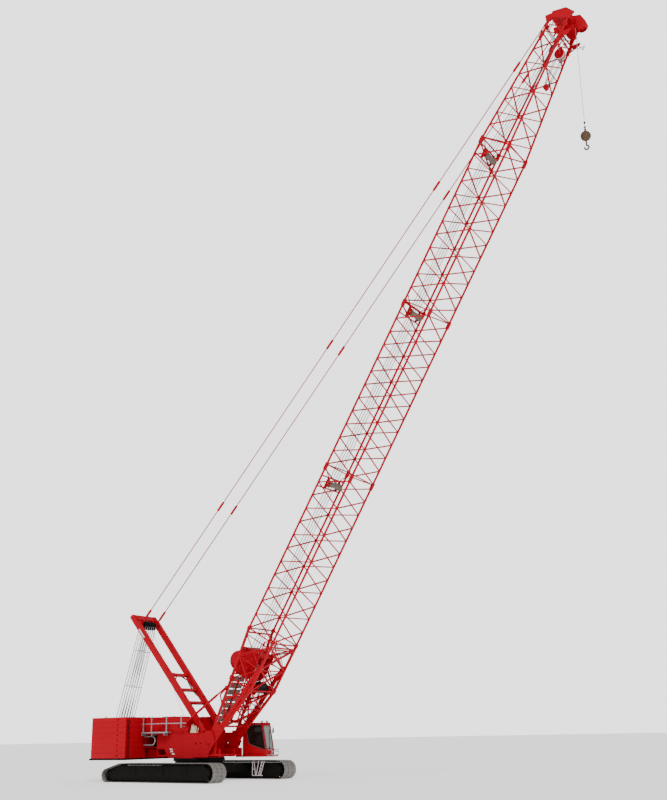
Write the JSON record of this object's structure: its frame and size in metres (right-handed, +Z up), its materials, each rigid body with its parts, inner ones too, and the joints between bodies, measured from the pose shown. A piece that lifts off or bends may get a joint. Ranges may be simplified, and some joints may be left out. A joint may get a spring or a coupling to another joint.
{
  "type": "crawler crane with lattice boom, 1:2 scale model",
  "caption": "Lattice-boom crawler crane with a live mast, pendant stays, side counterweights and an offset cab, as a half-size model.",
  "frame": {"origin": "centre of the bounding box, on the ground", "axes": "+X forward along the boom's reach, +Y to the operator's left, +Z up"},
  "size_m": [19.2253, 4.6926, 24.6229],
  "materials": {
    "machine_red": "gloss red enamel, slightly dusty",
    "frame_black": "satin black paint",
    "track_steel": "worn grey-brown cast shoes",
    "wheel_steel": "greasy black castings",
    "grey_steel": "galvanized steel",
    "sheave_brown": "rust-brown worn steel",
    "hook_steel": "dark forged steel",
    "rope_grey": "stranded wire rope",
    "cab_glass": "light green tinted safety glass",
    "seat_black": "black woven seat cloth",
    "console_grey": "moulded dark grey plastic"
  },
  "bodies": {
    "undercarriage": {"carbody": "frame_black", "slew_ring": "frame_black", "track_right": "track_steel", "crawler_frame_right": "frame_black", "track_wheels_right": "wheel_steel", "track_rollers_right": "wheel_steel", "track_left": "track_steel", "crawler_frame_left": "frame_black", "track_wheels_left": "wheel_steel", "track_rollers_left": "wheel_steel", "access_ladder": "grey_steel"},
    "upperworks": {"bed_frame": "machine_red", "engine_house": "machine_red", "engine_block": "frame_black", "machinery_hoods": "machine_red", "counterweight_right": "machine_red", "counterweight_left": "machine_red", "counterweight_tray": "frame_black", "counterweight_centre": "machine_red", "counterweight_steps": "machine_red", "deck_drums": "grey_steel", "drum_stands": "machine_red", "walkways": "grey_steel", "handrails": "grey_steel", "intake_loop": "grey_steel", "hoist_bridle": "sheave_brown", "cab_shell": "machine_red", "cab_glass": "cab_glass", "cab_seat": "seat_black", "cab_consoles": "console_grey", "cab_support": "machine_red", "stop_lugs": "machine_red"},
    "boom": {"boom_leg_right": "machine_red", "boom_leg_left": "machine_red", "boom_butt": "machine_red", "butt_winches": "machine_red", "rope_guides": "sheave_brown", "boom_insert_1": "machine_red", "boom_insert_2": "machine_red", "boom_insert_3": "machine_red", "boom_top": "machine_red", "boom_head": "machine_red", "head_sheaves": "sheave_brown"},
    "mast": {"mast_frame": "machine_red", "mast_sheaves": "sheave_brown"},
    "pendants": {"pendant_right": "machine_red", "pendant_left": "machine_red"},
    "stop_tubes": {"stop_tubes": "machine_red"},
    "stop_rods": {"stop_rods": "machine_red"},
    "whip_line": {"whip_line": "rope_grey"},
    "hook": {"hook_ball": "sheave_brown", "hook": "hook_steel"},
    "cab_door": {"cab_door": "machine_red", "door_glass": "cab_glass"}
  },
  "joints": [
    {"name": "slew", "type": "hinge", "parent": "undercarriage", "child": "upperworks", "pos_m": [-6.05265, -0.00001, 0.735], "axis": [0, 0, 1], "continuous": true},
    {"name": "boom_luff", "type": "hinge", "parent": "upperworks", "child": "boom", "pos_m": [-5.04765, -0.00001, 1.242], "axis": [0, -1, 0], "range_deg": [-43.9, 23.1]},
    {"name": "mast_luff", "type": "hinge", "parent": "upperworks", "child": "mast", "pos_m": [-5.49765, -0.00001, 1.615], "axis": [0, -1, 0], "range_deg": [-49.64, 26.4]},
    {"name": "pendant_swing", "type": "hinge", "parent": "boom", "child": "pendants", "pos_m": [8.50622, -0.00001, 24.44618], "axis": [0, -1, 0], "range_deg": [-0.5, 0.5]},
    {"name": "stop_swing", "type": "hinge", "parent": "upperworks", "child": "stop_tubes", "pos_m": [-5.99265, -0.00001, 1.9], "axis": [0, -1, 0], "range_deg": [-33.09, 17.69]},
    {"name": "stop_slide", "type": "slide", "parent": "stop_tubes", "child": "stop_rods", "axis": [0.8324, 0, 0.5542], "range_m": [-0.4, 0.76]},
    {"name": "whip_plumb", "type": "hinge", "parent": "boom", "child": "whip_line", "pos_m": [9.06431, -0.00001, 24.02777], "axis": [0, -1, 0], "range_deg": [-23.7, 44.5]},
    {"name": "hook_swivel", "type": "hinge", "parent": "whip_line", "child": "hook", "pos_m": [9.26161, -0.00001, 19.92777], "axis": [0, 0, 1], "continuous": true},
    {"name": "door_slide", "type": "slide", "parent": "upperworks", "child": "cab_door", "axis": [-1, 0, 0], "range_m": [0, 0.52]}
  ],
  "couplings": [
    {"joint": "mast_luff", "follows": "boom_luff", "ratio": 1.117},
    {"joint": "pendant_swing", "follows": "boom_luff", "ratio": -0.01},
    {"joint": "stop_swing", "follows": "boom_luff", "ratio": 0.74},
    {"joint": "stop_slide", "follows": "boom_luff", "m_per_rad": -0.967},
    {"joint": "whip_plumb", "follows": "boom_luff", "ratio": -1}
  ]
}
